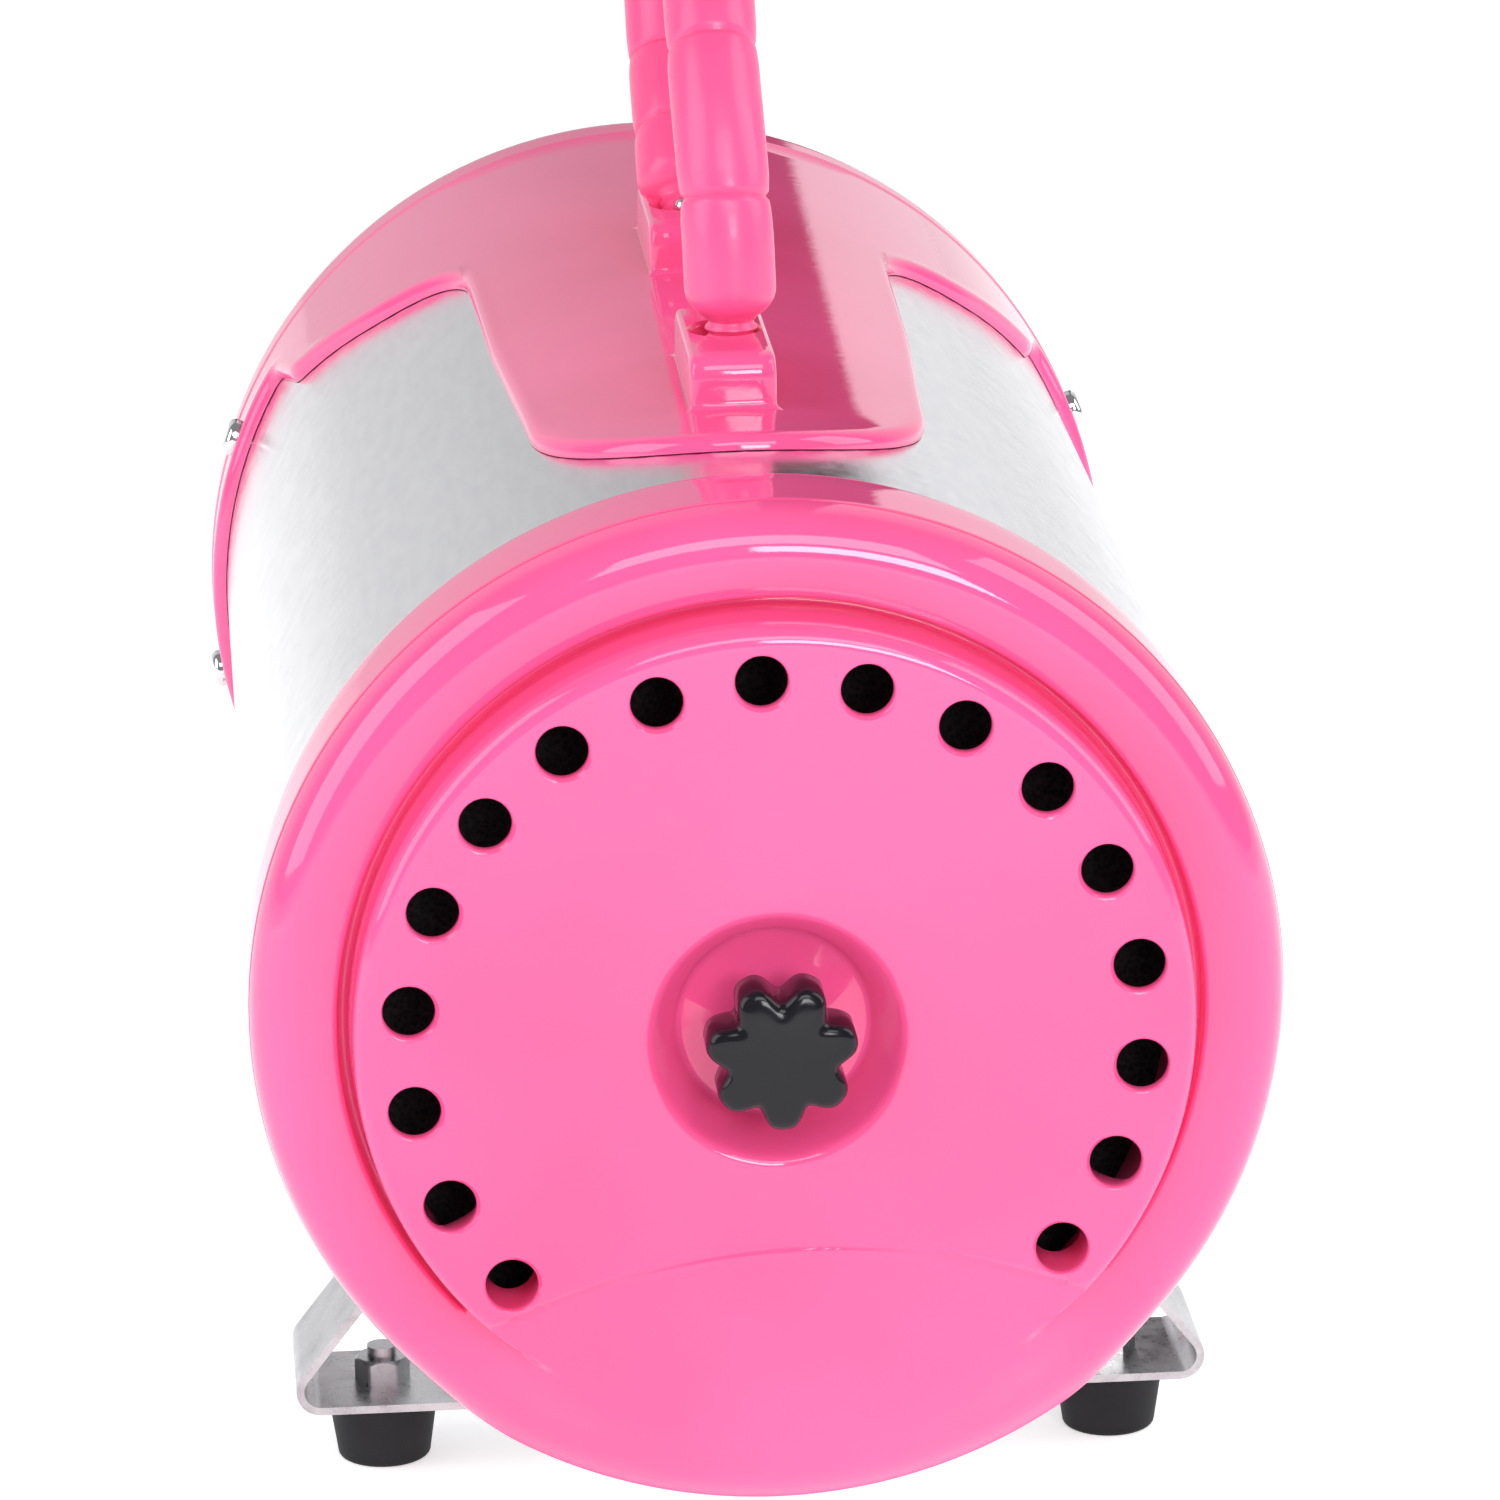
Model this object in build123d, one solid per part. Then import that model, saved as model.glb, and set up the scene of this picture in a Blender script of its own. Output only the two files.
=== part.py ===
from build123d import *
import os
from math import cos, pi, radians, sin, sqrt, tan

# Barrel-type grooming dryer: a steel tube on two folded foot straps, with a moulded filter cap held
# by a star knob at the intake end (-Y) and a saddle, a carry handle and an air outlet at the other.
# +Z is up, +Y runs along the barrel, and the origin is on the floor under the middle of the dryer.

# ---------------------------------------------------------------- driving dimensions, millimetres
AXIS_Z = 118.4            # height of the barrel's axis above the floor
CAP_R = 100.0             # outside radius of the filter cap
BARREL_R = 98.6           # outside radius of the steel barrel
SHEET = 1.0               # thickness of the barrel's sheet steel
WALL = 2.6                # thickness of the moulded shells
FIT = 0.3                 # clearance between pieces of different bodies

KNOB_FRONT = -34.5        # stations along the barrel, measured back from the widest line of the cap
DISC_FACE = -21.4
WELL_FLOOR = -10.0
RIM_FACE = -8.0
CAP_BACK = 23.0
BARREL_FRONT = 5.0
COLLAR_FRONT = 309.0
COLLAR_BACK = 327.0
NOSE_BACK = 350.0
NOSE_ROUND = 18.0
PORT_BACK = 372.0
STATION_0 = -(KNOB_FRONT + PORT_BACK) / 2

VENTS = 17                # intake holes, evenly spaced and centred on the top
VENT_R = 5.0
VENT_CIRCLE_R = 70.4
VENT_PITCH = 16.4
CAP_TURN = -1.6           # the cap sits a little turned on the barrel, as it does when put back by hand
DISC_R = 79.4             # raised disc of the cap, at its face
DISC_FOOT_R = 81.3        # the same disc where its drafted wall meets the bottom of the moat
MOAT_R = 83.3             # inner edge of the cap's rim
MOAT_FLOOR = -3.0
DOME_R = 2450.0           # radius of the disc's very shallow dome
CHIN_ANGLE = 49.0         # half angle of the lower segment where disc and rim run together
CHIN_ARC = (-174.0, 132.0)
CHIN_SLOPE = 0.22

COLLAR_R = 101.6
TONGUE_FRONT = 42.0
TONGUE_HALF = 39.5
TONGUE_ROOT = (47.0, 236.0)
WING_MID = (63.0, 250.0)
WING_TIP = (81.0, 282.0)

HANDLE_R = 9.0
HANDLE_ROUTE = ((91, 105), (93, 142), (131, 187), (224, 187), (256, 161), (241, 137), (204, 105))
HANDLE_RADII = (75, 45, 45, 22, 37)
NEAR_RINGS = (33.0, 65.0, 97.0)
FAR_RINGS = (27.0, 47.0, 80.0)
BLOCK_WIDTH = 18.4
BLOCK_TOP = 112.0
BLOCKS = ((67.0, 113.0), (184.0, 228.0))

STRAP_WIDTH = 32.0
STRAP_SHEET = 1.6
STRAP_HALF = 92.4
STRAP_LEAN = 52.0
STRAP_STATIONS = (76.0, 268.0)
FOOT_X = 74.5
FOOT_TOP_R = 11.5
FOOT_FLOOR_R = 9.3
FOOT_HEIGHT = 14.7

ROCKER_PIVOT = NOSE_BACK - 1.0
ROCKER_TIP = 9.0

STUD_R = 3.0
MOTOR_R = 46.0
FAN_R = 62.0
SHAFT_R = 4.0


# ---------------------------------------------------------------- helpers
def at(station, x=0.0, z=0.0):
    """A point given by its station, and by x and z from the barrel's axis."""
    return (x, station + STATION_0, AXIS_Z + z)


def axis_plane(station):
    """Sketch plane square to the barrel: local x is +X, local z looks back along +Y."""
    return Plane(origin=at(station), x_dir=(1, 0, 0), z_dir=(0, 1, 0))


def rod(radius, front, back, x=0.0, z=0.0):
    """Solid cylinder along the barrel between two stations."""
    plane = axis_plane(front)
    disc = plane * (Pos(x, -z) * Circle(radius))
    return extrude(disc, back - front)


def tube(outer, inner, front, back):
    """Hollow cylinder on the barrel's axis."""
    return rod(outer, front, back) - rod(inner, front - 1, back + 1)


def turned(points):
    """Solid of revolution about the barrel's axis from (radius, station) corners."""
    corners = [at(station, x=radius) for radius, station in points]
    wire = Wire([Line(a, b) for a, b in zip(corners, corners[1:] + corners[:1])])
    return revolve(Face(wire), Axis(at(0), (0, 1, 0)), 360)


def upright(radius, x, y, bottom, top):
    """Vertical cylinder between two heights above the floor."""
    return extrude(Plane.XY.offset(bottom) * Pos(x, y) * Circle(radius), top - bottom)


def hexagon(across, x, y, bottom, top):
    """Vertical hexagonal prism, given its size across flats."""
    return extrude(Plane.XY.offset(bottom) * Pos(x, y) * RegularPolygon(across / sqrt(3), 6), top - bottom)


def around(angle, radius):
    """x and z at a clock angle from the top, seen from the intake end."""
    return radius * sin(radians(angle)), radius * cos(radians(angle))


def group(solids):
    """Several separate solids kept as one node."""
    return Compound(children=list(solids))


PARTS = {}


def keep(name, shape):
    """Record a finished piece under its node name."""
    PARTS[name] = shape


# ---------------------------------------------------------------- barrel
def barrel_tube():
    """Rolled sheet tube, open at both ends."""
    return tube(BARREL_R, BARREL_R - SHEET, BARREL_FRONT, COLLAR_BACK - 2)


def sound_lining():
    """Foam sleeve glued to the inside of the barrel behind the bulkhead."""
    return tube(BARREL_R - SHEET, BARREL_R - SHEET - 9, 84, 296)


# ---------------------------------------------------------------- filter cap
def dome_station(radius):
    """Station of the domed disc's face at a radius."""
    return DISC_FACE + radius ** 2 / (2 * DOME_R)


def cap_rim():
    """Rounded rim and skirt of the cap, solid to the axis."""
    inner = at(RIM_FACE, x=88.0)
    crown = at(RIM_FACE, x=90.0)
    shoulder = at(-4.6, x=97.4)
    edge = at(3.0, x=CAP_R)
    bend = Spline(crown, shoulder, edge, tangents=((1, 0, 0), (0, 1, 0)))
    lines = [Line(at(RIM_FACE), inner), Line(inner, crown), bend, Line(edge, at(CAP_BACK, x=CAP_R)),
             Line(at(CAP_BACK, x=CAP_R), at(CAP_BACK)), Line(at(CAP_BACK), at(RIM_FACE))]
    return revolve(Face(Wire(lines)), Axis(at(0), (0, 1, 0)), 360)


def cap_disc():
    """Raised disc with a drafted wall and a softly rounded edge."""
    disc = turned([(0, DISC_FACE - 1), (DISC_R, DISC_FACE - 1), (DISC_FOOT_R, MOAT_FLOOR), (0, MOAT_FLOOR)])
    disc = disc & (Pos(*at(DISC_FACE + DOME_R)) * Sphere(DOME_R))
    rounded = disc.edges().filter_by(GeomType.CIRCLE).sort_by(Axis.Y)[0]
    return fillet(rounded, 2.6)


def chin_region():
    """Everything below the chin's shallow arc."""
    centre, radius = CHIN_ARC
    return rod(radius, DISC_FACE - 12, RIM_FACE + 6, z=centre)


def cap_chin():
    """Slope that joins the lower part of the disc to the rim."""
    slope = turned([(0, RIM_FACE + 0.5), (94.5, RIM_FACE + 0.5), (DISC_R - 3, dome_station(DISC_R - 3)),
                    (0, DISC_FACE)])
    return slope & cap_chin_sector()


def chin_cut():
    """Stock above the chin's inclined face."""
    top = CHIN_ARC[0] + CHIN_ARC[1]
    drop = 70.0
    high = at(DISC_FACE - 0.2, x=-CAP_R, z=top)
    low = at(DISC_FACE - 0.2 + drop * CHIN_SLOPE, x=-CAP_R, z=top - drop)
    corners = [high, low, at(-40, x=-CAP_R, z=top - drop), at(-40, x=-CAP_R, z=top)]
    side = Face(Wire([Line(a, b) for a, b in zip(corners, corners[1:] + corners[:1])]))
    return extrude(side, 2 * CAP_R, dir=(1, 0, 0)) & chin_region()


def cap_moat():
    """Channel between the rim and the raised disc, left out over the chin."""
    ring = turned([(MOAT_R, RIM_FACE - 1), (MOAT_R, MOAT_FLOOR), (DISC_FOOT_R - 0.2, MOAT_FLOOR),
                   (DISC_FOOT_R - 0.9, RIM_FACE - 1)])
    return ring - cap_chin_sector()


def cap_chin_sector():
    """Lower sector of the cap that has no moat."""
    reach = 2 * CAP_R
    wedge = Polygon((0, 0), around(180 - CHIN_ANGLE, reach), (0, -2 * reach), around(180 + CHIN_ANGLE, reach),
                    align=None)
    return extrude(Plane(origin=at(-40), x_dir=(1, 0, 0), z_dir=(0, -1, 0)) * wedge, 60, dir=(0, 1, 0))


def knob_well():
    """Round well with sloping sides for the star knob."""
    return turned([(0, DISC_FACE - 8), (26.2, DISC_FACE - 8), (26.2, DISC_FACE - 0.2), (25.0, DISC_FACE + 0.1),
                   (24.2, DISC_FACE + 1.0), (19.2, WELL_FLOOR - 1.0), (18.2, WELL_FLOOR), (0, WELL_FLOOR)])


def filter_cap():
    """Moulded end cap with seventeen intake holes and a well for the knob."""
    shell = cap_rim() - cap_moat() + cap_disc() + cap_chin() - chin_cut()
    socket = rod(BARREL_R + 0.4, BARREL_FRONT - 0.4, CAP_BACK + 1)
    rim_hollow = tube(94.0, MOAT_R + WALL, RIM_FACE + WALL, BARREL_FRONT)
    face_inside = Pos(*at(DISC_FACE + DOME_R)) * Sphere(DOME_R - WALL)
    disc_hollow = (rod(76.3, DISC_FACE, BARREL_FRONT) & face_inside) - rod(28.0, -30, 30) - chin_region()
    chin_hollow = rod(76.3, RIM_FACE, BARREL_FRONT) & chin_region()
    cap = shell - socket - rim_hollow - disc_hollow - chin_hollow
    cap = cap - knob_well() - rod(STUD_R + 0.6, -30, 30)
    relief = rod(25, WELL_FLOOR + WALL, 30) - rod(9, WELL_FLOOR, WELL_FLOOR + WALL + 5)
    cap = cap - relief
    for index in range(VENTS):
        x, z = around((index - VENTS // 2) * VENT_PITCH, VENT_CIRCLE_R)
        cap = cap - rod(VENT_R, -30, 2, x, z)
    return cap.rotate(Axis(at(0), (0, 1, 0)), CAP_TURN)


def star_knob():
    """Seven-lobed plastic knob with a short stem, bored for the stud."""
    lobes, crest, valley, per_lobe = 7, 14.6, 11.4, 8
    points = []
    for index in range(lobes * per_lobe):
        dip = (1 - cos(2 * pi * index / per_lobe)) / 2
        x, z = around(180 + index * 360 / (lobes * per_lobe), crest - (crest - valley) * dip ** 1.7)
        points.append((x, -z))
    body = make_face(Spline(*points, periodic=True))
    head = extrude(axis_plane(KNOB_FRONT) * body, 13.0)
    head = fillet(head.edges().group_by(Axis.Y)[0], 1.8)
    stem = rod(7.0, KNOB_FRONT + 12, WELL_FLOOR - FIT)
    return head + stem - rod(5.0, KNOB_FRONT + 6, WELL_FLOOR + 1)


def knob_insert():
    """Brass threaded bush moulded into the knob."""
    bush = rod(5.0, KNOB_FRONT + 6, WELL_FLOOR - FIT)
    return bush - rod(STUD_R + 0.05, KNOB_FRONT + 6, WELL_FLOOR + 1)


def filter_stud():
    """Long stud that the knob screws on, fixed to the fan's inlet spider."""
    return rod(STUD_R, KNOB_FRONT + 8, 62)


def filter_foam():
    """Dark foam pad that lies behind the intake holes."""
    return tube(88.0, 12.0, 8.0, 20.0)


def filter_guard():
    """Perforated steel plate that holds the foam off the fan."""
    guard = tube(96.0, 10.0, 21.0, 22.2)
    for ring_radius, count in ((30, 8), (50, 12), (70, 18)):
        for index in range(count):
            x, z = around(index * 360 / count, ring_radius)
            guard = guard - rod(6.0, 20, 24, x, z)
    return guard


def guard_ring():
    """Angle ring spot-welded inside the barrel to carry the guard."""
    return tube(BARREL_R - SHEET, BARREL_R - SHEET - 6, 22.2, 26.0)


# ---------------------------------------------------------------- motor and fan
def bulkhead():
    """Pressed steel plate across the barrel that the fan unit hangs on."""
    plate = tube(BARREL_R - SHEET, 48.0, 80.0, 81.6)
    return plate


def fan_gasket():
    """Rubber ring between the bulkhead and the fan housing."""
    return tube(66.0, 50.0, 81.6, 86.0)


def fan_housing():
    """Spun can round the two fan wheels, open at its eye and towards the motor."""
    can = tube(FAN_R + 4, FAN_R + 2.8, 86.0, 130.0)
    front = tube(FAN_R + 4, 22.0, 86.0, 87.2)
    back = tube(FAN_R + 4, MOTOR_R - 8, 128.8, 130.0)
    return can + front + back


def inlet_spider():
    """Three-armed bracket over the bulkhead's opening that holds the filter stud."""
    hub = rod(9.0, 50.0, 62.0)
    arms = None
    for index in range(3):
        x, z = around(index * 120, 1.0)
        arm = Box(8.0, 3.0, 72.0, align=(Align.CENTER, Align.CENTER, Align.MIN))
        arm = Rot(0, index * 120, 0) * arm
        placed = Pos(*at(60.5)) * arm
        foot_x, foot_z = around(index * 120, 68.0)
        foot = rod(5.0, 59.0, 80.0, foot_x, foot_z)
        arms = placed + foot if arms is None else arms + placed + foot
    return hub + arms - rod(STUD_R, 40, 70)


def stage_plate():
    """Fixed plate between the two fan wheels."""
    return tube(FAN_R + 2.8, 14.0, 105.2, 106.6)


def fan_wheel(front):
    """Curved-blade wheel between two thin plates."""
    wheel = tube(FAN_R, 8.0, front + 13.0, front + 14.2)
    wheel += tube(FAN_R, 20.0, front, front + 1.2)
    for index in range(8):
        angle = index * 45
        start = around(angle, 22)
        bend = around(angle + 22, 42)
        end = around(angle + 38, FAN_R - 2)
        spine = ThreePointArc((start[0], -start[1]), (bend[0], -bend[1]), (end[0], -end[1]))
        blade = extrude(axis_plane(front) * trace(spine, 1.2), 14.0)
        wheel += blade
    hub = tube(9.0, SHAFT_R, front + 6.0, front + 14.2)
    return wheel + hub


def rotor_shaft():
    """Ground shaft through both wheels, the armature and its bearings."""
    return rod(SHAFT_R, 88.6, 246.0)


def armature():
    """Laminated armature with its windings."""
    core = tube(21.0, SHAFT_R, 160.0, 200.0)
    ends = tube(17.0, SHAFT_R, 152.0, 160.0) + tube(17.0, SHAFT_R, 200.0, 208.0)
    return core + ends


def commutator():
    """Copper commutator behind the armature."""
    return tube(12.0, SHAFT_R, 210.0, 226.0)


def motor_field():
    """Laminated field stack with its two coils."""
    stack = tube(38.0, 21.5, 160.0, 200.0)
    for side in (-1, 1):
        coil = Pos(*at(180, z=side * 30)) * Box(38, 56, 10)
        stack += coil - rod(24.0, 140, 220)
    return stack


def motor_frame():
    """Cast end bells and the four pillars between them."""
    front = tube(MOTOR_R, 11.0, 134.0, 140.0)
    back = tube(MOTOR_R, 8.0, 234.0, 240.0)
    frame = front + back
    for index in range(4):
        x, z = around(45 + index * 90, MOTOR_R - 4.5)
        frame += rod(3.5, 130.0, 240.0, x, z)
    return frame


def bearing(front, outer):
    """Ball bearing drawn as one closed ring."""
    return tube(outer, SHAFT_R + 0.05, front, front + 6.0)


def brush_holder(side):
    """Carbon brush in its square brass box."""
    box = Pos(*at(218, x=side * 25)) * Box(25.4, 10, 10)
    return box


def motor_ring():
    """Rubber ring that steadies the back of the motor in its cradle."""
    return tube(56.0, MOTOR_R, 232.0, 242.0)


def motor_cradle():
    """Pressed spider that centres the rubber ring in the barrel."""
    ring = tube(58.0, 56.0, 230.0, 244.0)
    for index in range(4):
        arm = Box(14.0, 2.0, 31.4, align=(Align.CENTER, Align.CENTER, Align.MIN))
        x, z = around(45 + index * 90, 57.0)
        placed = Pos(*at(237, x=x, z=z)) * Rot(0, 45 + index * 90, 0) * arm
        ring += placed
    return ring & rod(BARREL_R - SHEET - 9.0, 200, 260)


# ---------------------------------------------------------------- heater, controls and outlet
HEATER_RINGS = ((262, 40.0), (268, 64.0), (274, 52.0), (280, 64.0), (286, 40.0))


def heater_coils(wire=1.5):
    """Turns of resistance wire threaded through the mica cross."""
    return group(Pos(*at(station)) * Rot(90, 0, 0) * Torus(radius, wire) for station, radius in HEATER_RINGS)


def heater_frame():
    """Mica cross that carries the heating coil and wedges in the lining."""
    long_card = Pos(*at(274)) * Box(176, 36, 1.2)
    cross_card = Pos(*at(274)) * Box(1.2, 36, 176)
    frame = long_card + cross_card
    for turn in heater_coils(1.5).solids():
        frame = frame - turn
    return frame


def outlet_nose():
    """Moulded rear end with a flat control face and a hole for the hose port."""
    outer = rod(COLLAR_R, COLLAR_BACK - 2, NOSE_BACK)
    outer = fillet(outer.edges().sort_by(Axis.Y)[-1], NOSE_ROUND)
    outer += rod(BARREL_R - SHEET - 0.1, COLLAR_BACK - 26, COLLAR_BACK - 2)
    plug_inside = BARREL_R - SHEET - 0.1 - WALL
    inner = turned([(0, COLLAR_BACK - 28), (plug_inside, COLLAR_BACK - 28), (plug_inside, COLLAR_BACK + 4),
                    (COLLAR_R - NOSE_ROUND - 2 * WALL, NOSE_BACK - WALL), (0, NOSE_BACK - WALL)])
    nose = outer - inner - rod(28.0, NOSE_BACK - 10, NOSE_BACK + 2, z=-18)
    for x in (-34.0, 34.0):
        cut = Pos(*at(NOSE_BACK - 2, x=x, z=32)) * Box(13.4, 12, 19.4)
        nose = nose - cut
    nose = nose - rod(4.0, NOSE_BACK - 10, NOSE_BACK + 2, z=44)
    return nose - rod(8.0, NOSE_BACK - 10, NOSE_BACK + 2, x=58, z=-32)


def hose_port():
    """Plain spigot that a hose cuff pushes on, flanged inside the nose."""
    spigot = rod(26.0, NOSE_BACK, PORT_BACK, z=-18)
    spigot = chamfer(spigot.edges().sort_by(Axis.Y)[-1], 1.0)
    spigot += rod(28.0, NOSE_BACK - WALL - 3, NOSE_BACK + 1, z=-18)
    flange = rod(31.0, NOSE_BACK - WALL - 3, NOSE_BACK - WALL, z=-18)
    return spigot + flange - rod(22.5, NOSE_BACK - 20, PORT_BACK + 1, z=-18)


def speed_knob():
    """Skirted control knob on the speed regulator's shaft."""
    skirt = rod(13.0, NOSE_BACK + 0.4, NOSE_BACK + 4.0, z=44)
    grip = rod(9.5, NOSE_BACK + 4.0, NOSE_BACK + 16.0, z=44)
    knob = skirt + grip
    pointer = Pos(*at(NOSE_BACK + 11, z=50)) * Box(1.6, 10.0, 10.0)
    knob += pointer & rod(11.5, NOSE_BACK + 5, NOSE_BACK + 16.6, z=44)
    return knob - rod(3.05, NOSE_BACK, NOSE_BACK + 12, z=44)


def regulator():
    """Speed regulator: a rotary control body with its shaft."""
    body = rod(11.0, NOSE_BACK - WALL - 14, NOSE_BACK - WALL, z=44)
    return body + rod(3.0, NOSE_BACK - WALL - 1, NOSE_BACK + 11, z=44)


def switch_body(x):
    """Snap-in rocker switch body with its bezel."""
    bezel = Pos(*at(NOSE_BACK + 0.8, x=x, z=32)) * Box(16, 1.6, 22)
    case = Pos(*at(NOSE_BACK - 8.0, x=x, z=32)) * Box(13.0, 16, 19.0)
    pocket = Pos(*at(NOSE_BACK - 2.0, x=x, z=32)) * Box(9.6, 12, 15.6)
    pin_hole = Pos(*at(ROCKER_PIVOT, x=x, z=32)) * Rot(0, 90, 0) * Cylinder(1.05, 12.0)
    return bezel + case - pocket - pin_hole


def rocker(x):
    """Rocker tipped to its off side, with two stub pins in its switch body."""
    back, valley, crest, reach = -4.5, 2.0, 4.2, 6.8
    profile = Polygon((back, -5.5), (crest, -reach), (valley, 0), (crest, reach), (back, 5.5), align=None)
    body = extrude(Plane(origin=(-4.3, 0, 0), x_dir=(0, 1, 0), z_dir=(1, 0, 0)) * profile, 8.6)
    pins = Rot(0, 90, 0) * Cylinder(1.0, 11.6)
    return Pos(*at(ROCKER_PIVOT, x=x, z=32)) * Rot(ROCKER_TIP, 0, 0) * (body + pins)


def cord_gland():
    """Clamping gland for the supply cord, left empty."""
    body = rod(8.0, NOSE_BACK - WALL - 4, NOSE_BACK, x=58, z=-32)
    nut = rod(11.0, NOSE_BACK, NOSE_BACK + 8, x=58, z=-32) + rod(11.0, NOSE_BACK - WALL - 6, NOSE_BACK - WALL, x=58, z=-32)
    return body + nut - rod(4.2, NOSE_BACK - 20, NOSE_BACK + 9, x=58, z=-32)


def control_board():
    """Circuit board with the triac and its heat sink, carried behind the nose."""
    board = Pos(*at(312, z=64)) * Box(80, 26, 1.6)
    sink = Pos(*at(310, x=20, z=68.3)) * Box(22, 16, 7.0)
    capacitor = Pos(*at(312, x=-22, z=68.8)) * Box(18, 10, 8.0)
    return board + sink + capacitor


def board_posts():
    """Two posts that stand the board off the nose's sleeve."""
    posts = []
    for x in (-34, 34):
        top = sqrt((BARREL_R - SHEET - 0.1 - WALL) ** 2 - x ** 2)
        posts.append(upright(3.0, x, 310 + STATION_0, AXIS_Z + 64.8, AXIS_Z + top + 0.6))
    return group(posts)


# ---------------------------------------------------------------- saddle, collar and handle
def saddle_outline():
    """Plan of the saddle's tongue and wings, as a face in plan view."""
    root_x, root_s = TONGUE_ROOT
    nose_s = TONGUE_FRONT + TONGUE_HALF
    right = [(TONGUE_HALF, nose_s), (root_x, root_s), WING_MID, WING_TIP, (90.0, COLLAR_FRONT), (92.0, COLLAR_BACK)]
    left = [(-x, s) for x, s in reversed(right)]
    nose = ThreePointArc((-TONGUE_HALF, nose_s), (0, TONGUE_FRONT), (TONGUE_HALF, nose_s))
    chain = right + left
    lines = [Line(a, b) for a, b in zip(chain, chain[1:])]
    face = make_face([nose] + lines)
    inner = [v for v in face.vertices() if abs(abs(v.X) - root_x) < 0.01 and abs(v.Y - root_s) < 0.01]
    face = fillet(inner, 11.0)
    tips = [v for v in face.vertices() if abs(abs(v.X) - WING_TIP[0]) < 0.01]
    return fillet(tips, 10.0)


def handle_block(front, back):
    """Socket block on the saddle for one foot of the handle."""
    length = back - front
    bar = Box(BLOCK_WIDTH, length, BLOCK_TOP - 98.0, align=(Align.CENTER, Align.MIN, Align.MIN))
    bar = fillet(bar.edges().group_by(Axis.Z)[-1], 4.0)
    return Pos(*at(front, z=98.0)) * bar


def rear_collar():
    """Saddle tongue, wings, collar band and the handle's socket blocks in one moulding."""
    sheet = tube(COLLAR_R, BARREL_R + 0.1, TONGUE_FRONT - 5, COLLAR_BACK)
    plan = Plane.XY.offset(AXIS_Z) * Pos(0, STATION_0) * saddle_outline()
    saddle = sheet & extrude(plan, 120)
    band = tube(COLLAR_R, BARREL_R + 0.1, COLLAR_FRONT, COLLAR_BACK - 2)
    moulding = saddle + band
    moulding = moulding - rod(BARREL_R + 0.1, 0, COLLAR_BACK + 2)
    for front, back in BLOCKS:
        moulding += handle_block(front, back) - rod(BARREL_R + 1.0, 0, COLLAR_BACK)
    keep_out = tube(COLLAR_R + 5, BARREL_R, COLLAR_BACK - 2, COLLAR_BACK + 5)
    moulding = moulding - keep_out
    return moulding - carry_handle()


def handle_path():
    """Centre line of the handle: straight runs joined by tangent arcs."""
    points = [at(station, z=height) for station, height in HANDLE_ROUTE]
    return FilletPolyline(*points, radius=list(HANDLE_RADII))


def carry_handle():
    """Bow handle with rounded feet, neck spigots and ring grooves."""
    path = handle_path()
    length = path.length
    start, end = path @ 0, path @ 1
    section = Plane(origin=start, z_dir=path % 0) * Circle(HANDLE_R)
    bow = sweep(section, path=path)
    trim = []
    for base, tangent in ((start, path % 0), (end, (path % 1) * -1)):
        plane = Plane(origin=base, z_dir=tangent)
        collar = extrude(plane * Circle(HANDLE_R + 2), 9.0) - extrude(plane * Circle(HANDLE_R - 2.4), 9.0)
        trim.append(collar)
    for piece in trim:
        bow = bow - piece
    steps = list(NEAR_RINGS) + [length - step for step in FAR_RINGS]
    for step in steps:
        where = step / length
        ring = Plane(origin=path @ where, z_dir=path % where) * Torus(HANDLE_R + 0.3, 1.1)
        bow = bow - ring
    return bow


def handle_screws():
    """Screws driven up through the saddle into the feet of the handle."""
    screws = []
    for station, _ in (HANDLE_ROUTE[0], HANDLE_ROUTE[-1]):
        y = station + STATION_0
        shank = upright(2.0, 0, y, AXIS_Z + 99.2, AXIS_Z + 119)
        screws.append(shank + upright(4.0, 0, y, AXIS_Z + 99.2, AXIS_Z + 101.0))
    return group(screws)


def screw_head(angle, station, radius):
    """Pan-head screw standing square on the barrel at a clock angle."""
    shank = Cylinder(2.0, 9.0, align=(Align.CENTER, Align.CENTER, Align.MIN))
    head = Pos(0, 0, 9.0) * Cylinder(4.3, 2.4, align=(Align.CENTER, Align.CENTER, Align.MIN))
    head = fillet(head.edges().sort_by(Axis.Z)[-1], 1.6)
    turn = Rot(0, angle, 0)
    return Pos(*at(station)) * turn * Pos(0, 0, radius - 9.0) * (shank + head)


COLLAR_SCREW_ANGLES = (-101, -70, 70, 101, 150, -150)


def collar_screws():
    """Screws round the collar that hold it and the nose to the barrel."""
    return group(screw_head(angle, 318.0, COLLAR_R) for angle in COLLAR_SCREW_ANGLES)


# ---------------------------------------------------------------- foot straps and feet
def strap_profile():
    """Face of half a strap: the flat run, one outward fold and the leaning wing."""
    half_angle = radians(STRAP_LEAN / 2)
    lean = radians(STRAP_LEAN)
    outer_radius, bottom, top = 5.0, FOOT_HEIGHT, FOOT_HEIGHT + STRAP_SHEET
    corner = STRAP_HALF + outer_radius * (1 / tan(half_angle) - 1)
    inner = corner - STRAP_SHEET / tan(half_angle)
    rise = 46.0
    outer_top = (corner - rise / tan(lean), bottom + rise)
    inner_top = (inner - rise / tan(lean), top + rise)
    points = [(0, bottom), (corner, bottom), outer_top, inner_top, (inner, top), (0, top)]
    face = Polygon(*points, align=None)
    outer_bend = [v for v in face.vertices() if abs(v.X - corner) < 0.01]
    face = fillet(outer_bend, outer_radius)
    inner_bend = [v for v in face.vertices() if abs(v.X - inner) < 0.01 and abs(v.Y - top) < 0.01]
    return fillet(inner_bend, outer_radius - STRAP_SHEET)


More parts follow.
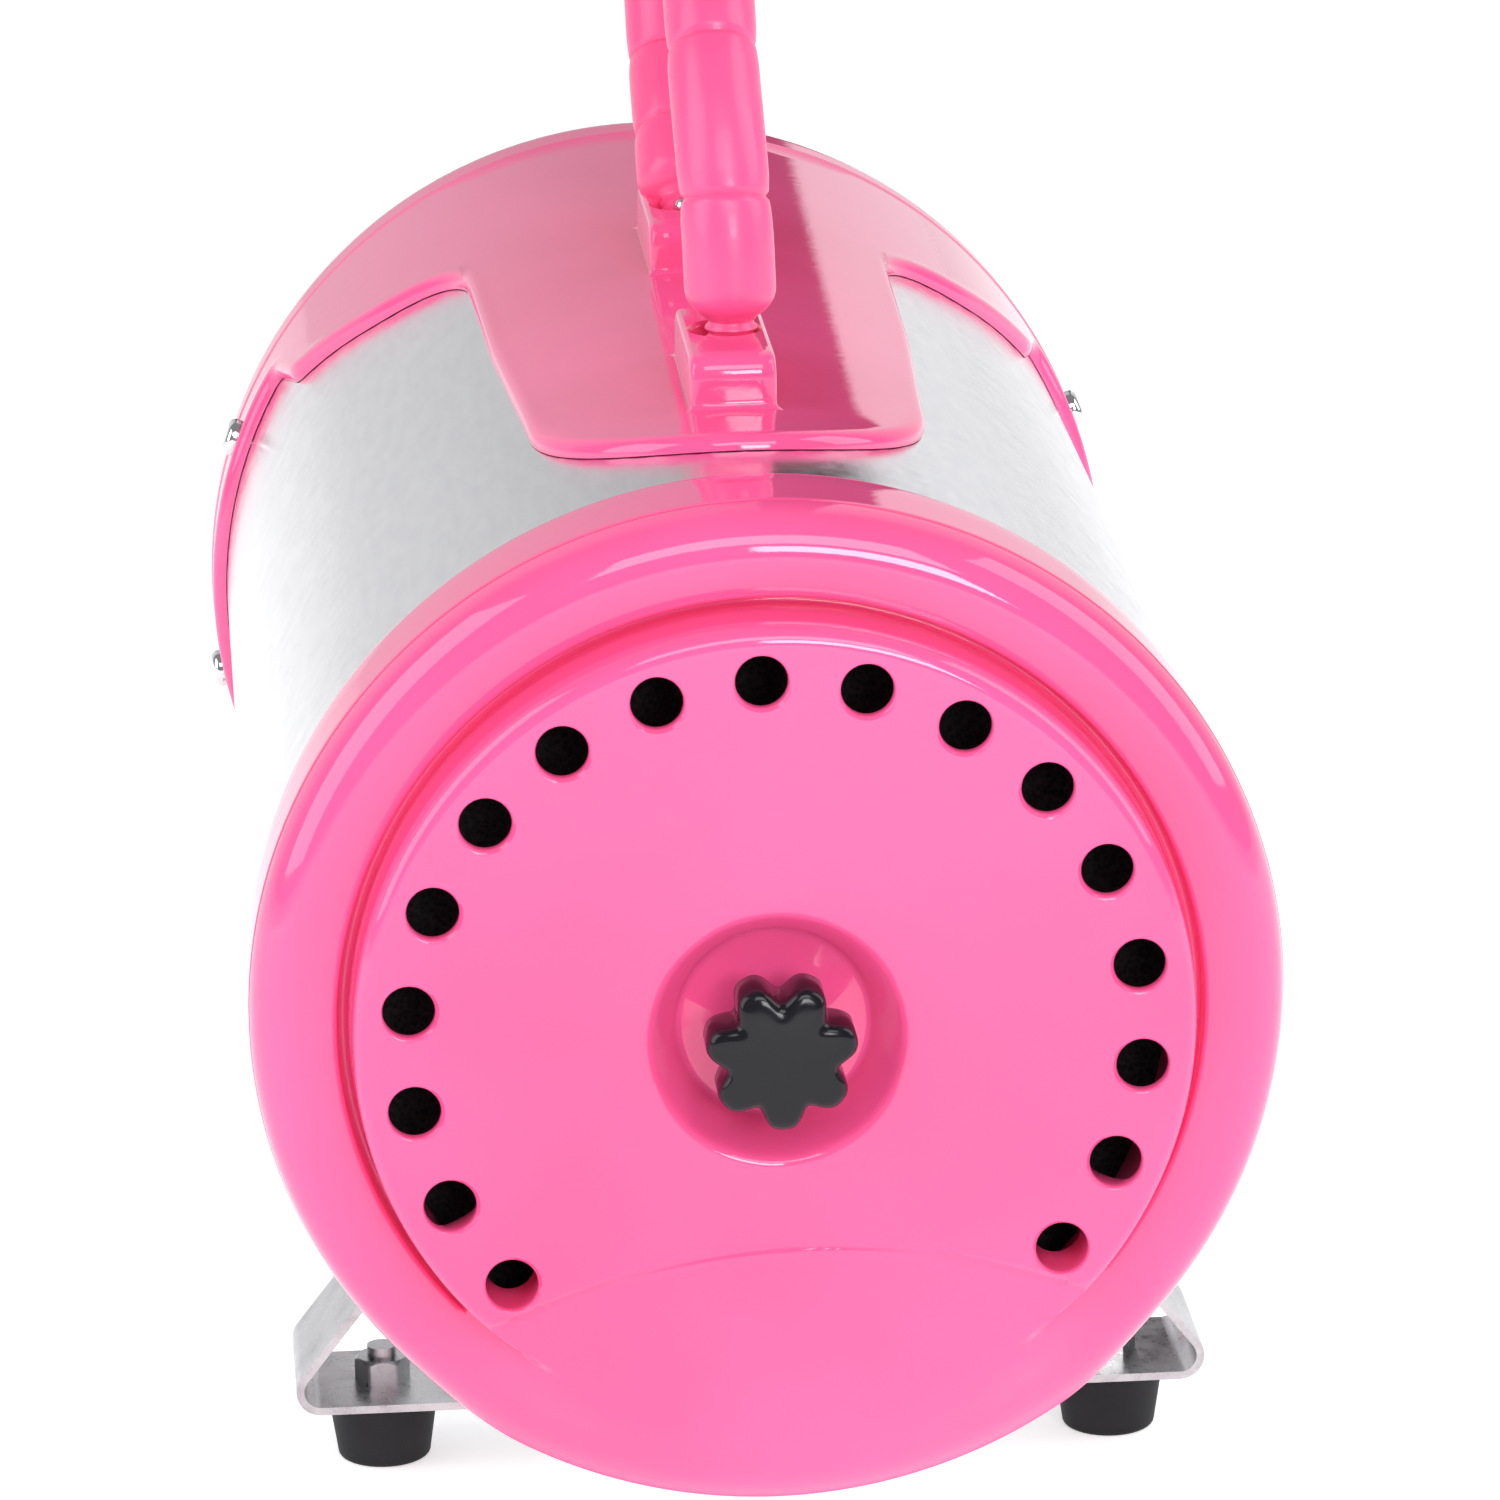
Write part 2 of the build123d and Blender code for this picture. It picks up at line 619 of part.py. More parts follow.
def foot_strap(station):
    """Steel strip folded up at both ends, with flanges that lie on the barrel."""
    back_edge = station + STATION_0 + STRAP_WIDTH / 2
    plane = Plane(origin=(0, back_edge, 0), x_dir=(1, 0, 0), z_dir=(0, -1, 0))
    half = extrude(plane * strap_profile(), STRAP_WIDTH)
    strip = half + mirror(half, Plane.YZ)
    lies_on = BARREL_R + 0.1
    strip = strip - rod(lies_on, station - 40, station + 40)
    ring = tube(lies_on + STRAP_SHEET, lies_on, station - STRAP_WIDTH / 2, station + STRAP_WIDTH / 2)
    for side in (-1, 1):
        sector = Polygon((0, 0), around(side * 116, 150), around(side * 136, 150), align=None)
        wedge = Plane(origin=at(station - 40), x_dir=(1, 0, 0), z_dir=(0, -1, 0)) * sector
        strip += ring & extrude(wedge, 80, dir=(0, 1, 0))
        strip = strip - upright(3.1, side * FOOT_X, station + STATION_0, 0, 20)
    return strip


def strap_rivets():
    """Rivets through the flanges of both straps and the barrel."""
    rivets = []
    for station in STRAP_STATIONS:
        for angle in (-121, 121):
            for shift in (-9, 9):
                stem = Cylinder(1.6, 2.7, align=(Align.CENTER, Align.CENTER, Align.MIN))
                head = Pos(0, 0, 2.7) * Cylinder(3.4, 1.2, align=(Align.CENTER, Align.CENTER, Align.MIN))
                placed = Rot(0, angle, 0) * Pos(0, 0, BARREL_R - SHEET) * (stem + head)
                rivets.append(Pos(*at(station + shift)) * placed)
    return group(rivets)


def foot_places():
    """x and y of the four feet."""
    return [(x, station + STATION_0) for station in STRAP_STATIONS for x in (-FOOT_X, FOOT_X)]


def rubber_foot(x, y):
    """Tapered rubber foot with a recess for the bolt's head."""
    cone = Pos(x, y, FOOT_HEIGHT / 2) * Cone(FOOT_FLOOR_R, FOOT_TOP_R, FOOT_HEIGHT)
    cone = fillet(cone.edges().sort_by(Axis.Z)[0], 1.2)
    return cone - upright(5.4, x, y, -1, 5.0) - upright(3.0, x, y, 4, FOOT_HEIGHT + 1)


def foot_bolt(x, y):
    """Bolt up through a foot and its strap."""
    return upright(5.2, x, y, 1.6, 5.0) + upright(3.0, x, y, 5.0, FOOT_HEIGHT + STRAP_SHEET + 7.2)


def foot_nut(x, y):
    """Nut on top of the strap."""
    bottom = FOOT_HEIGHT + STRAP_SHEET
    nut = hexagon(10.0, x, y, bottom, bottom + 5.0)
    crown = Pos(x, y, bottom + 2.5) * Cylinder(5.6, 5.0)
    crown = chamfer(crown.edges().group_by(Axis.Z)[-1], 0.7)
    return (nut & crown) - upright(3.0, x, y, 0, 40)


# ---------------------------------------------------------------- build everything
keep("barrel_tube", barrel_tube())
keep("sound_lining", sound_lining())
keep("filter_cap", filter_cap())
keep("star_knob", star_knob())
keep("knob_insert", knob_insert())
keep("filter_stud", filter_stud())
keep("filter_foam", filter_foam())
keep("filter_guard", filter_guard())
keep("guard_ring", guard_ring())
keep("bulkhead", bulkhead())
keep("fan_gasket", fan_gasket())
keep("fan_housing", fan_housing())
keep("stage_plate", stage_plate())
keep("inlet_spider", inlet_spider())
keep("fan_wheel_front", fan_wheel(89.0))
keep("fan_wheel_back", fan_wheel(109.0))
keep("rotor_shaft", rotor_shaft())
keep("armature", armature())
keep("commutator", commutator())
keep("motor_field", motor_field())
keep("motor_frame", motor_frame())
keep("bearing_front", bearing(134.0, 11.0))
keep("bearing_back", bearing(234.0, 8.0))
keep("brushes", group(brush_holder(side) for side in (-1, 1)))
keep("motor_ring", motor_ring())
keep("motor_cradle", motor_cradle())
keep("heater_frame", heater_frame())
keep("heater_coils", heater_coils())
keep("outlet_nose", outlet_nose())
keep("hose_port", hose_port())
keep("speed_knob", speed_knob())
keep("regulator", regulator())
keep("power_switch", switch_body(-34.0))
keep("heat_switch", switch_body(34.0))
keep("power_rocker", rocker(-34.0))
keep("heat_rocker", rocker(34.0))
keep("cord_gland", cord_gland())
keep("control_board", control_board())
keep("board_posts", board_posts())
keep("rear_collar", rear_collar())
keep("carry_handle", carry_handle())
keep("handle_screws", handle_screws())
keep("collar_screws", collar_screws())
keep("foot_strap_front", foot_strap(STRAP_STATIONS[0]))
keep("foot_strap_rear", foot_strap(STRAP_STATIONS[1]))
keep("strap_rivets", strap_rivets())
keep("rubber_feet", group(rubber_foot(x, y) for x, y in foot_places()))
keep("foot_bolts", group(foot_bolt(x, y) for x, y in foot_places()))
keep("foot_nuts", group(foot_nut(x, y) for x, y in foot_places()))

os.makedirs("parts", exist_ok=True)
for name, shape in PARTS.items():
    export_step(shape, f"parts/{name}.step")
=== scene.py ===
from math import cos, exp, hypot, pi, radians, sin, sqrt

import bmesh
import bpy
from mathutils import Matrix, Vector


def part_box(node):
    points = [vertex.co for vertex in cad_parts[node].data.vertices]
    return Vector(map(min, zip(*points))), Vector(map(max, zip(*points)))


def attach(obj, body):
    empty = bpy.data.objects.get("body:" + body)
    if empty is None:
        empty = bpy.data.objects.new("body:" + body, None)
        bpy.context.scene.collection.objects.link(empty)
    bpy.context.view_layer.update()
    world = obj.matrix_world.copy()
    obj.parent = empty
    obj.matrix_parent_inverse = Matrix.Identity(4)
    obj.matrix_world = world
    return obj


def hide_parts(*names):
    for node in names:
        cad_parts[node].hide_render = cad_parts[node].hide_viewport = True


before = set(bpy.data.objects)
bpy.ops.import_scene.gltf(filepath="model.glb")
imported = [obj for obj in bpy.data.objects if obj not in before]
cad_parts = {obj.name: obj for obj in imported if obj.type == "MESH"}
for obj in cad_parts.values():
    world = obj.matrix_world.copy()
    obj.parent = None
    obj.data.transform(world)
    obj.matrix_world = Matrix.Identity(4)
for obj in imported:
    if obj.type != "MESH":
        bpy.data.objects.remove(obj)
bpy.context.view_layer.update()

# ======================================================================== camera
# The dryer is seen from its intake end, a little from its left and above, through a long lens.
# Everything is placed from the barrel: its axis, and a station counted back from the cap's widest line.
MM = 0.001
barrel_low, barrel_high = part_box("barrel_tube")
AXIS_HEIGHT = (barrel_low.z + barrel_high.z) / 2
STATION_0 = barrel_low.y - 5 * MM


def place(x, station, z):
    """Point in metres from x, station and z in millimetres, counted from the barrel's axis."""
    return Vector((x * MM, STATION_0 + station * MM, AXIS_HEIGHT + z * MM))


LENS_LENGTH = 197.535
CAMERA_SPOT = (-114.64, -1499.62, 499.59)
azimuth, pitch, roll = radians(4.26), radians(16.60), radians(-0.90)
level_right = Vector((cos(azimuth), -sin(azimuth), 0))
forward = Vector((sin(azimuth) * cos(pitch), cos(azimuth) * cos(pitch), -sin(pitch)))
level_up = level_right.cross(forward)
camera_right = level_right * cos(roll) + level_up * sin(roll)
camera_up = level_up * cos(roll) - level_right * sin(roll)

camera_data = bpy.data.cameras.new("camera")
camera_data.sensor_width = 36
camera_data.lens = LENS_LENGTH
camera_data.clip_end = 20
camera = bpy.data.objects.new("camera", camera_data)
camera.matrix_world = Matrix((camera_right, camera_up, -forward)).transposed().to_4x4()
camera.location = place(*CAMERA_SPOT)
bpy.context.scene.collection.objects.link(camera)
bpy.context.scene.camera = camera
bpy.context.scene.view_settings.view_transform = "Standard"

# ======================================================================== floor and light
# A white sweep that glows a little, a large soft box on each side and two more in front.
# The steel and the gloss plastic show the boxes, and the room's panels, as their bright and dark bands.


def new_material(name):
    """Empty node material; returns it with a function that adds nodes and one that links them."""
    material = bpy.data.materials.new(name)
    material.use_nodes = True
    tree = material.node_tree
    surface = tree.nodes["Principled BSDF"]

    def add(kind, **settings):
        node = tree.nodes.new("ShaderNode" + kind)
        for key, value in settings.items():
            if key in node.inputs:
                node.inputs[key].default_value = value
            else:
                setattr(node, key, value)
        return node

    return material, surface, add, tree.links.new


def new_object(name, mesh):
    """Object for a mesh, linked into the scene."""
    piece = bpy.data.objects.new(name, mesh)
    bpy.context.scene.collection.objects.link(piece)
    return piece


floor_mesh = bpy.data.meshes.new("floor")
floor_form = bmesh.new()
bmesh.ops.create_grid(floor_form, x_segments=8, y_segments=8, size=6.0)
floor_form.to_mesh(floor_mesh)
floor_form.free()
floor = new_object("floor", floor_mesh)
paper, paper_surface, add, link = new_material("white_sweep")
paper_grain = add("TexNoise", Scale=900.0, Detail=2.0)
paper_tone = add("ValToRGB")
paper_tone.color_ramp.elements[0].color = (0.90, 0.90, 0.905, 1)
paper_tone.color_ramp.elements[1].color = (0.94, 0.94, 0.94, 1)
link(paper_grain.outputs["Fac"], paper_tone.inputs["Fac"])
link(paper_tone.outputs["Color"], paper_surface.inputs["Base Color"])
paper_surface.inputs["Roughness"].default_value = 0.85
paper_surface.inputs["Emission Color"].default_value = (1.0, 1.0, 1.0, 1)
paper_surface.inputs["Emission Strength"].default_value = 0.50
floor_mesh.materials.append(paper)

world = bpy.data.worlds.new("studio")
world.use_nodes = True


def studio_tone(nodes, link):
    """Room round the set: a dim wall, and behind the dryer a grey panel, a dark gap and a bright panel."""
    way = nodes.new("ShaderNodeTexCoord")
    parts = nodes.new("ShaderNodeSeparateXYZ")
    link(way.outputs["Generated"], parts.inputs["Vector"])
    panels = nodes.new("ShaderNodeValToRGB")
    for position, level in ((0.30, 0.85), (0.44, 0.58), (0.50, 0.46), (0.530, 0.42), (0.538, 0.07),
                            (0.594, 0.05), (0.597, 0.92), (0.72, 0.85)):
        stop = panels.color_ramp.elements.new(position)
        stop.color = (level, level, level * 1.02, 1)
    panels.color_ramp.elements.remove(panels.color_ramp.elements[0])
    panels.color_ramp.elements[-1].color = (0.6, 0.6, 0.6, 1)
    across = nodes.new("ShaderNodeMapRange")
    across.inputs["From Min"].default_value = -1.0
    link(parts.outputs["X"], across.inputs["Value"])
    link(across.outputs["Result"], panels.inputs["Fac"])
    behind = nodes.new("ShaderNodeMapRange")
    behind.inputs["From Min"].default_value = 0.35
    behind.inputs["From Max"].default_value = 0.60
    link(parts.outputs["Y"], behind.inputs["Value"])
    wall = nodes.new("ShaderNodeMixRGB")
    wall.inputs["Color1"].default_value = (0.27, 0.27, 0.28, 1)
    link(behind.outputs["Result"], wall.inputs["Fac"])
    link(panels.outputs["Color"], wall.inputs["Color2"])
    return wall.outputs["Color"]


sky = world.node_tree.nodes["Background"]
room = studio_tone(world.node_tree.nodes, world.node_tree.links.new)
world.node_tree.links.new(room, sky.inputs["Color"])
sky.inputs["Strength"].default_value = 1.0
bpy.context.scene.world = world


def soft_box(name, position, target, width, height, power):
    """Rectangular area light that faces a target."""
    data = bpy.data.lights.new(name, "AREA")
    data.shape = "RECTANGLE"
    data.size, data.size_y = width, height
    data.energy = power
    lamp = bpy.data.objects.new(name, data)
    lamp.location = position
    lamp.rotation_euler = (Vector(target) - Vector(position)).to_track_quat("-Z", "Y").to_euler()
    bpy.context.scene.collection.objects.link(lamp)


soft_box("left_box", (-1.6, -0.5, 1.0), (0, 0, 0.15), 1.3, 1.7, 17)
soft_box("right_box", (1.6, -0.2, 1.1), (0, 0, 0.15), 1.1, 1.6, 13)
soft_box("front_box", (0.25, -2.4, 2.0), (0, 0, 0.1), 2.0, 1.1, 26)
soft_box("low_front_box", (0.55, -2.6, 0.85), (0, 0, 0.1), 0.8, 0.6, 17)

# ======================================================================== barrel
# A tube rolled from bright plated sheet steel about 1 mm thick, its edges locked in a seam underneath.
# The sheet keeps a faint rolled grain along the barrel and shallow waves round it.


def keep_cad(material, *nodes):
    """Give CAD pieces a material in place of their packed ones."""
    for node in nodes:
        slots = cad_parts[node].data.materials
        slots.clear()
        slots.append(material)


def bevel_cad(width, *nodes, angle=35):
    """Break the sharp edges of CAD pieces."""
    for node in nodes:
        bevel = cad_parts[node].modifiers.new("broken_edge", "BEVEL")
        bevel.width = width * MM
        bevel.segments = 3
        bevel.angle_limit = radians(angle)
        bevel.harden_normals = True
        bevel.use_clamp_overlap = True


def plated_sheet(name, tint, grain_scale, rough):
    """Bright plated steel with rolled grain, faint waves and small marks."""
    material, surface, add, link = new_material(name)
    where = add("TexCoord")
    stretch = add("Mapping")
    stretch.inputs["Scale"].default_value = grain_scale
    link(where.outputs["Object"], stretch.inputs["Vector"])
    grain = add("TexNoise", Scale=1.0, Detail=6.0, Roughness=0.62)
    link(stretch.outputs["Vector"], grain.inputs["Vector"])
    waves = add("TexNoise", Scale=14.0, Detail=2.0)
    link(where.outputs["Object"], waves.inputs["Vector"])
    marks = add("TexNoise", Scale=170.0, Detail=4.0, Roughness=0.7)
    link(where.outputs["Object"], marks.inputs["Vector"])
    tone = add("ValToRGB")
    tone.color_ramp.elements[0].position = 0.35
    tone.color_ramp.elements[0].color = (tint[0] * 0.93, tint[1] * 0.93, tint[2] * 0.94, 1)
    tone.color_ramp.elements[1].position = 0.65
    tone.color_ramp.elements[1].color = (*tint, 1)
    link(grain.outputs["Fac"], tone.inputs["Fac"])
    link(tone.outputs["Color"], surface.inputs["Base Color"])
    gloss = add("MapRange")
    gloss.inputs["From Min"].default_value = 0.3
    gloss.inputs["From Max"].default_value = 0.7
    gloss.inputs["To Min"].default_value = rough * 0.8
    gloss.inputs["To Max"].default_value = rough * 1.35
    link(marks.outputs["Fac"], gloss.inputs["Value"])
    link(gloss.outputs["Result"], surface.inputs["Roughness"])
    surface.inputs["Metallic"].default_value = 1.0
    fine = add("Bump", Strength=0.07, Distance=0.0003)
    link(grain.outputs["Fac"], fine.inputs["Height"])
    broad = add("Bump", Strength=0.07, Distance=0.004)
    link(waves.outputs["Fac"], broad.inputs["Height"])
    link(fine.outputs["Normal"], broad.inputs["Normal"])
    link(broad.outputs["Normal"], surface.inputs["Normal"])
    return material


barrel_steel = plated_sheet("barrel_steel", (0.84, 0.845, 0.855), (330.0, 70.0, 330.0), 0.20)
keep_cad(barrel_steel, "barrel_tube")

BARREL_RADIUS = (barrel_high.x - barrel_low.x) / 2 / MM
SEAM_START, SEAM_STEP, SEAM_ROWS = 24.5, 1.5, 190


def mesh_piece(name, corners, faces, material, smooth=True):
    """Object from points in metres and faces, with normals turned outward."""
    mesh = bpy.data.meshes.new(name)
    mesh.from_pydata([tuple(corner) for corner in corners], [], faces)
    form = bmesh.new()
    form.from_mesh(mesh)
    bmesh.ops.recalc_face_normals(form, faces=form.faces)
    if form.calc_volume(signed=True) < 0:
        bmesh.ops.reverse_faces(form, faces=form.faces)
    form.to_mesh(mesh)
    form.free()
    if smooth:
        mesh.polygons.foreach_set("use_smooth", [True] * len(mesh.polygons))
    mesh.materials.append(material)
    return new_object(name, mesh)


def on_barrel(angle, radius, station):
    """Point at a clock angle from the top, seen from the intake end."""
    return place(radius * sin(angle), station, radius * cos(angle))


def swept_faces(rows, count):
    """Faces of a bar: rows of count points, each row a closed outline, with a face on both ends."""
    faces = []
    for row in range(rows - 1):
        for column in range(count):
            a, b = row * count + column, row * count + (column + 1) % count
            faces.append((a, b, b + count, a + count))
    faces.append(tuple(range(count)))
    faces.append(tuple(range((rows - 1) * count, rows * count)))
    return faces


def seam_strip():
    """Flat lock seam along the bottom of the barrel, standing just proud of the sheet."""
    section = [(-4.2, -0.5), (-4.0, 0.35), (-3.2, 0.75), (3.0, 0.75), (3.8, 0.5), (4.2, -0.5)]
    stations = [SEAM_START + SEAM_STEP * step for step in range(SEAM_ROWS)]
    corners = []
    for station in stations:
        for across, height in section:
            corners.append(on_barrel(pi + across / BARREL_RADIUS, BARREL_RADIUS + height, station))
    return mesh_piece("barrel_seam", corners, swept_faces(SEAM_ROWS, len(section)), barrel_steel)


barrel_seam = seam_strip()
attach(barrel_seam, "housing")

# ======================================================================== filter cap
# One glossy moulding: a rounded rim and skirt, a raised disc with seventeen air holes, and a knob well.
# A narrow moat runs round the disc, and below a shallow arc the disc slopes down into the rim.
PINK = (1.0, 0.115, 0.335)
PINK_DEEP = (0.93, 0.085, 0.27)


def gloss_plastic(name, shade, deep, rough, coat=0.6):
    """Injection-moulded gloss plastic with faint flow clouds, orange peel and hairline wear."""
    material, surface, add, link = new_material(name)
    where = add("TexCoord")
    clouds = add("TexNoise", Scale=9.0, Detail=3.0)
    link(where.outputs["Object"], clouds.inputs["Vector"])
    tone = add("ValToRGB")
    tone.color_ramp.elements[0].position = 0.3
    tone.color_ramp.elements[0].color = (*deep, 1)
    tone.color_ramp.elements[1].position = 0.62
    tone.color_ramp.elements[1].color = (*shade, 1)
    link(clouds.outputs["Fac"], tone.inputs["Fac"])
    link(tone.outputs["Color"], surface.inputs["Base Color"])
    hairlines = add("TexNoise", Scale=260.0, Detail=8.0, Roughness=0.75, Distortion=1.5)
    link(where.outputs["Object"], hairlines.inputs["Vector"])
    gloss = add("MapRange")
    gloss.inputs["From Min"].default_value = 0.4
    gloss.inputs["From Max"].default_value = 0.75
    gloss.inputs["To Min"].default_value = rough
    gloss.inputs["To Max"].default_value = rough * 1.6
    link(hairlines.outputs["Fac"], gloss.inputs["Value"])
    link(gloss.outputs["Result"], surface.inputs["Roughness"])
    peel = add("TexNoise", Scale=380.0, Detail=1.0)
    link(where.outputs["Object"], peel.inputs["Vector"])
    relief = add("Bump", Strength=0.05, Distance=0.0003)
    link(peel.outputs["Fac"], relief.inputs["Height"])
    link(relief.outputs["Normal"], surface.inputs["Normal"])
    surface.inputs["Coat Weight"].default_value = coat
    surface.inputs["Coat Roughness"].default_value = 0.03
    return material


pink = gloss_plastic("pink_moulding", PINK, PINK_DEEP, 0.05, coat=0.3)

CAP_RADIUS = 100.0
CAP_TURN = radians(-1.6)
DISC_FACE = -21.3
DISC_RADIUS = 80.6
DISC_ROUND = 3.0
RIM_FACE = -8.0
RIM_FLAT = 90.0
MOAT_START, MOAT_WIDTH = 76.4, 11.1
WELL_FLOOR = -10.0
VENT_COUNT, VENT_STEP = 17, 16.4
VENT_RING, VENT_RADIUS = 70.4, 5.0
CHIN_CENTRE, CHIN_RADIUS, CHIN_SLOPE = -174.0, 132.0, 0.21
ANGLE_STEPS = 720


def smooth_step(low, high, value):
    """Ease from 0 to 1 between two limits."""
    t = min(max((value - low) / (high - low), 0.0), 1.0)
    return t * t * (3 - 2 * t)


def soft_min(a, b, blend):
    """Smaller of two numbers with a rounded corner between them."""
    h = min(max(0.5 + 0.5 * (b - a) / blend, 0.0), 1.0)
    return b * (1 - h) + a * h - blend * h * (1 - h)


def rim_station(radius):
    """Station of the cap's flat rim and its rounded shoulder."""
    if radius <= RIM_FLAT:
        return RIM_FACE
    t = min((radius - RIM_FLAT) / (CAP_RADIUS - RIM_FLAT), 1.0)
    return RIM_FACE + 11.0 * (1 - sqrt(max(1 - t ** 2.3, 0.0)))


def chin_plane(z):
    """Station of the inclined plane of the chin."""
    return DISC_FACE - 0.1 + max(CHIN_CENTRE + CHIN_RADIUS - z, 0.0) * CHIN_SLOPE


def below_chin_arc(x, z):
    """Distance below the arc where the chin begins, negative above it."""
    return CHIN_RADIUS - hypot(x, z - CHIN_CENTRE)


def face_station(x, z, chin):
    """Station of the moulded face away from the moat; chin is 1 in the lower sector."""
    radius = hypot(x, z)
    face = DISC_FACE + radius ** 2 / 4900.0
    if radius > DISC_RADIUS - DISC_ROUND:
        over = min((radius - DISC_RADIUS + DISC_ROUND) / DISC_ROUND, 1.0)
        face += DISC_ROUND * (1 - sqrt(max(1 - over ** 2, 0.0)))
    if radius > DISC_RADIUS:
        face += (radius - DISC_RADIUS) * 7.0
    if chin <= 0:
        return face
    below_arc = below_chin_arc(x, z)
    plane = chin_plane(z)
    cone = -20.3 + (radius - 76.0) * 0.69
    slope = -soft_min(-plane, -cone, 3.0)
    slope = soft_min(slope, rim_station(radius), 3.5)
    on_slope = smooth_step(-0.5, 0.7, below_arc)
    crease = 0.50 * exp(-((below_arc - 0.3) / 0.65) ** 2)
    if radius <= DISC_RADIUS - DISC_ROUND:
        slope = face + (slope - face) * on_slope
    return slope + crease


def moat_section(angle):
    """Radii and stations across the disc's edge and the moat, the moat filled in over the chin."""
    from_bottom = abs((angle % (2 * pi)) - pi)
    filled = 1 - smooth_step(radians(48.0), radians(49.5), from_bottom)
    section = [(MOAT_START, None), (77.4, None), (78.4, None), (79.2, None), (79.9, None), (80.3, None),
               (DISC_RADIUS, -17.2), (80.8, -14.0), (81.0, -10.5), (81.15, -6.8), (81.3, -4.2), (81.6, -3.5),
               (82.2, -3.3), (82.8, -3.5), (83.15, -4.3), (83.3, -6.6), (83.42, -7.3), (83.7, -7.75),
               (84.3, -7.95), (MOAT_START + MOAT_WIDTH, RIM_FACE)]
    finished = []
    for radius, station in section:
        x, z = radius * sin(angle), radius * cos(angle)
        if station is None:
            station = face_station(x, z, 0)
        station += (min(station, RIM_FACE) - station) * filled
        if below_chin_arc(x, z) > 0 and radius < 81.4:
            station = max(station, chin_plane(z))
        finished.append((radius, station))
    return finished


def cap_outer_line(angle):
    """Radii and stations across the cap's outside at one clock angle, from the stud hole to the skirt."""
    from_bottom = abs((angle % (2 * pi)) - pi)
    lean = 1 - smooth_step(radians(32.0), radians(49.0), from_bottom)
    line = [(3.6, WELL_FLOOR + 2.4), (3.6, WELL_FLOOR + 0.2)]
    line += [(radius, WELL_FLOOR) for radius in (4.0, 9.0, 14.0, 17.6)]
    line += [(18.4, -10.15), (18.9, -10.6), (19.2, -11.4), (20.2, -13.4), (21.4, -15.8), (22.6, -18.0),
             (23.5, -19.6), (24.0, -20.35), (24.7, -20.9), (25.6, -21.2)]
    radius = 27.0
    while radius < 76.0:
        line.append((radius, face_station(radius * sin(angle), radius * cos(angle), 1)))
        radius += 1.25 if radius < 36 else 0.6
    moat = moat_section(angle)
    for index, (radius, station) in enumerate(moat):
        radius += (MOAT_START + index * MOAT_WIDTH / (len(moat) - 1) - radius) * lean
        sloped = face_station(radius * sin(angle), radius * cos(angle), 1)
        line.append((radius, station + (sloped - station) * lean))
    for radius in (88.6, RIM_FLAT, 91.2, 92.4, 93.5, 94.5, 95.4, 96.2, 97.0, 97.7, 98.3, 98.8, 99.2, 99.55,
                   99.8, 99.95):
        flat = rim_station(radius)
        sloped = face_station(radius * sin(angle), radius * cos(angle), 1)
        line.append((radius, flat + (min(sloped, flat) - flat) * lean))
    line += [(CAP_RADIUS, 1.7), (99.75, 1.95), (99.75, 2.25)]
    line += [(CAP_RADIUS, station) for station in (2.5, 4.0, 9.0, 15.0, 21.0)]
    return line + [(99.9, 22.2), (99.7, 22.8), (99.4, 23.0)]


def cap_inner_line(angle):
    """Radii and stations across the cap's inside, from the skirt back to the stud hole."""
    lower = smooth_step(34, 40, -76 * cos(angle))
    ceiling = -18.2 + 10.0 * lower
    return [(99.0, 22.8), (99.0, 12.0), (99.0, 4.6), (94.0, 4.6), (94.0, -2.6), (86.5, -5.0), (86.5, 0.0),
            (77.0, 0.0), (76.4, ceiling), (28.0, ceiling), (26.5, -10.0), (25.0, -7.4), (9.0, -7.4)]


def wrapped_faces(columns, count):
    """Faces of a form that closes on itself both ways: columns round it, count points in each."""
    faces = []
    for column in range(columns):
        a, b = column * count, (column + 1) % columns * count
        for index in range(count):
            ahead = (index + 1) % count
            faces.append((a + index, b + index, b + ahead, a + ahead))
    return faces


def filter_cap_form():
    """Closed mesh of the whole cap, turned line by line about the barrel's axis."""
    corners = []
    for step in range(ANGLE_STEPS):
        angle = 2 * pi * step / ANGLE_STEPS
        for radius, station in cap_outer_line(angle) + cap_inner_line(angle):
            corners.append(on_barrel(angle + CAP_TURN, radius, station))
    faces = wrapped_faces(ANGLE_STEPS, len(corners) // ANGLE_STEPS)
    return mesh_piece("filter_cap_moulding", corners, faces, pink)


def turned_faces(sides, count, start=0):
    """Faces of a turned form: sides round it, count points in each from end to end, with flat ends."""
    faces = []
    for side in range(sides):
        a, b = start + side * count, start + (side + 1) % sides * count
        for index in range(count - 1):
            faces.append((a + index, b + index, b + index + 1, a + index + 1))
    for end in (0, count - 1):
        faces.append(tuple(start + side * count + end for side in range(sides)))
    return faces


def lathe_cutter(name, line, x, z, segments=48):
    """Closed turned solid about a line parallel to the barrel's axis, for cutting holes."""
    corners = []
    for step in range(segments):
        angle = 2 * pi * step / segments
        for radius, station in line:
            corners.append(place(x + radius * sin(angle), station, z + radius * cos(angle)))
    return mesh_piece(name, corners, turned_faces(segments, len(line)), pink)


def carve(piece, cutter):
    """Cut one closed mesh out of another and drop the cutter."""
    cut = piece.modifiers.new("cut", "BOOLEAN")
    cut.operation = "DIFFERENCE"
    cut.solver = "MANIFOLD"
    cut.object = cutter
    bpy.context.view_layer.objects.active = piece
    piece.select_set(True)
    bpy.ops.object.modifier_apply(modifier=cut.name)
    piece.select_set(False)
    bpy.data.objects.remove(cutter)


